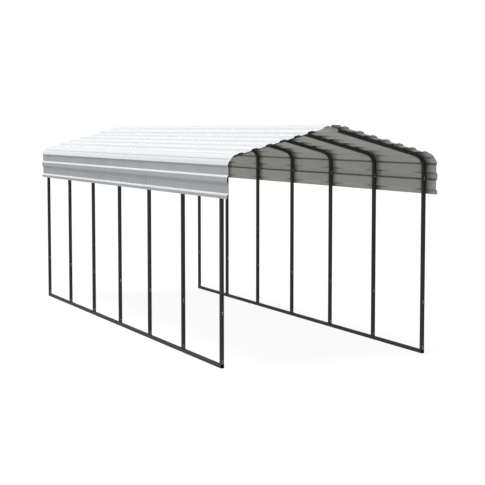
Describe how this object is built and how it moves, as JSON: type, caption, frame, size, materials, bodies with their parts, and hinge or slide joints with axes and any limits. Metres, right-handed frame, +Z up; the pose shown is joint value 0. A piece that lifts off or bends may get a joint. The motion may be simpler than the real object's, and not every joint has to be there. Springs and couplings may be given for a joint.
{
  "type": "open carport",
  "caption": "Open-sided gable carport: square-tube steel frames with rounded eaves stand on two base rails under ribbed sheets that fold down as a short side skirt.",
  "frame": {"origin": "on the ground at the middle of the part, between the base rails and halfway along them", "axes": "+X to the right seen from the front, +Y along the ridge from front to rear, +Z up"},
  "size_m": [3.0886, 8.956, 3.1482],
  "materials": {
    "frame_paint": "dark charcoal paint, satin",
    "sheet_paint": "white paint, satin",
    "galvanised_plate": "galvanised, dull"
  },
  "bodies": {
    "root": {"left_base_rail": "frame_paint", "right_base_rail": "frame_paint", "rail_stubs": "frame_paint", "leg_extensions": "frame_paint", "left_leg_1": "frame_paint", "left_leg_2": "frame_paint", "left_leg_3": "frame_paint", "left_leg_4": "frame_paint", "left_leg_5": "frame_paint", "left_leg_6": "frame_paint", "left_leg_7": "frame_paint", "right_leg_1": "frame_paint", "right_leg_2": "frame_paint", "right_leg_3": "frame_paint", "right_leg_4": "frame_paint", "right_leg_5": "frame_paint", "right_leg_6": "frame_paint", "right_leg_7": "frame_paint", "left_eave_bend_1": "frame_paint", "left_eave_bend_2": "frame_paint", "left_eave_bend_3": "frame_paint", "left_eave_bend_4": "frame_paint", "left_eave_bend_5": "frame_paint", "left_eave_bend_6": "frame_paint", "left_eave_bend_7": "frame_paint", "right_eave_bend_1": "frame_paint", "right_eave_bend_2": "frame_paint", "right_eave_bend_3": "frame_paint", "right_eave_bend_4": "frame_paint", "right_eave_bend_5": "frame_paint", "right_eave_bend_6": "frame_paint", "right_eave_bend_7": "frame_paint", "rafters_1": "frame_paint", "rafters_2": "frame_paint", "rafters_3": "frame_paint", "rafters_4": "frame_paint", "rafters_5": "frame_paint", "rafters_6": "frame_paint", "rafters_7": "frame_paint", "peak_plates": "galvanised_plate", "left_eave_sheet": "sheet_paint", "right_eave_sheet": "sheet_paint", "left_roof_sheet": "sheet_paint", "right_roof_sheet": "sheet_paint", "ridge_sheet": "sheet_paint"}
  },
  "joints": []
}
